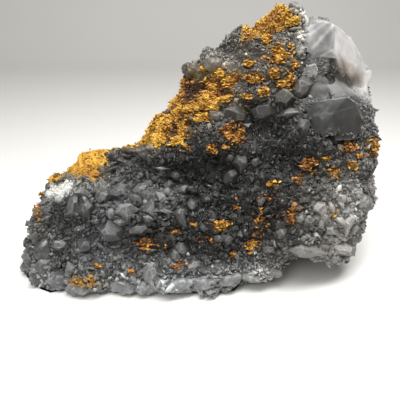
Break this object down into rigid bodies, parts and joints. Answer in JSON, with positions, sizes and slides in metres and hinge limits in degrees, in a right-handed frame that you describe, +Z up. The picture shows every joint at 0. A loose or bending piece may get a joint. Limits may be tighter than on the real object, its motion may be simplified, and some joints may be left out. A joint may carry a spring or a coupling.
{
  "type": "realgar specimen",
  "caption": "Wedge-shaped hand specimen of dark crystalline matrix with a pale calcite corner and orange-yellow realgar crusts and clusters on its upper slope and front.",
  "frame": {"origin": "on the surface that the specimen rests on, under the middle of its box", "axes": "+Z up, +X to the right when the specimen is seen from its show face, -Y out of the show face towards the viewer"},
  "size_m": [0.3836, 0.188, 0.2601],
  "materials": {
    "matrix": "dark grey crystalline calcite rock, glassy on its grain faces and matt in its hollows",
    "calcite": "milky, cloudy translucent calcite with flat cleavage faces",
    "realgar": "crumbly orange-yellow realgar, yellow on its edges and orange-brown in its hollows"
  },
  "bodies": {
    "root": {"matrix": "matrix", "calcite_mass": "calcite", "realgar_crust_left": "realgar", "realgar_crust_slope": "realgar", "realgar_crust_top": "realgar", "realgar_cluster_01": "realgar", "realgar_cluster_02": "realgar", "realgar_cluster_03": "realgar", "realgar_cluster_04": "realgar", "realgar_cluster_05": "realgar", "realgar_cluster_06": "realgar", "realgar_cluster_07": "realgar", "realgar_cluster_08": "realgar", "realgar_cluster_09": "realgar", "realgar_cluster_10": "realgar", "realgar_cluster_11": "realgar", "realgar_cluster_12": "realgar", "realgar_cluster_13": "realgar", "realgar_cluster_14": "realgar", "realgar_cluster_15": "realgar", "realgar_cluster_16": "realgar", "realgar_cluster_17": "realgar", "realgar_cluster_18": "realgar", "realgar_cluster_19": "realgar"}
  },
  "joints": []
}
